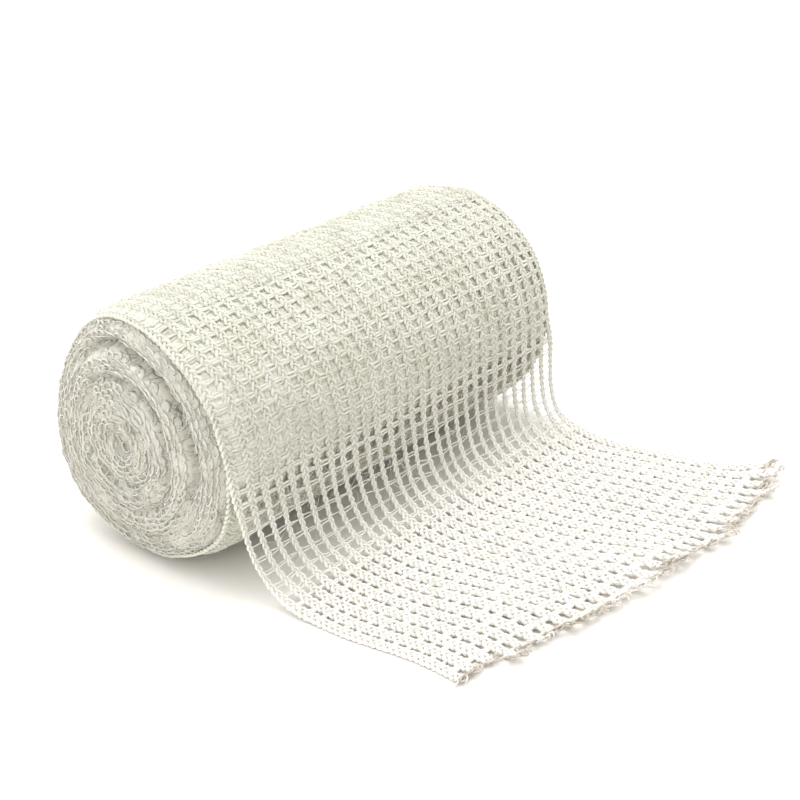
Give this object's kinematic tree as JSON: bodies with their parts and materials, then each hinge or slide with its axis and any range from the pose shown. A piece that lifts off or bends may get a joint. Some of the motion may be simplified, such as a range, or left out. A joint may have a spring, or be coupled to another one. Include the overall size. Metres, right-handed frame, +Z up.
{
  "type": "gauze bandage roll",
  "caption": "Wound roll of open knitted gauze bandage on its side, with its cut end pulled out and lying flat beside it.",
  "frame": {"origin": "on the surface that the roll rests on, below its axis and at the middle of the strip's width", "axes": "+Z up, +Y along the roll's axis towards its plain end, +X towards the loose end"},
  "size_m": [0.0858, 0.0891, 0.0398],
  "materials": {
    "wound_gauze": "matt, off-white cotton yarn in open warp-knitted chains, slightly fluffy",
    "loose_gauze": "matt, off-white cotton yarn in open warp-knitted chains, one layer, see-through between the chains"
  },
  "bodies": {
    "root": {"wound_roll": "wound_gauze", "loose_end": "loose_gauze"}
  },
  "joints": []
}
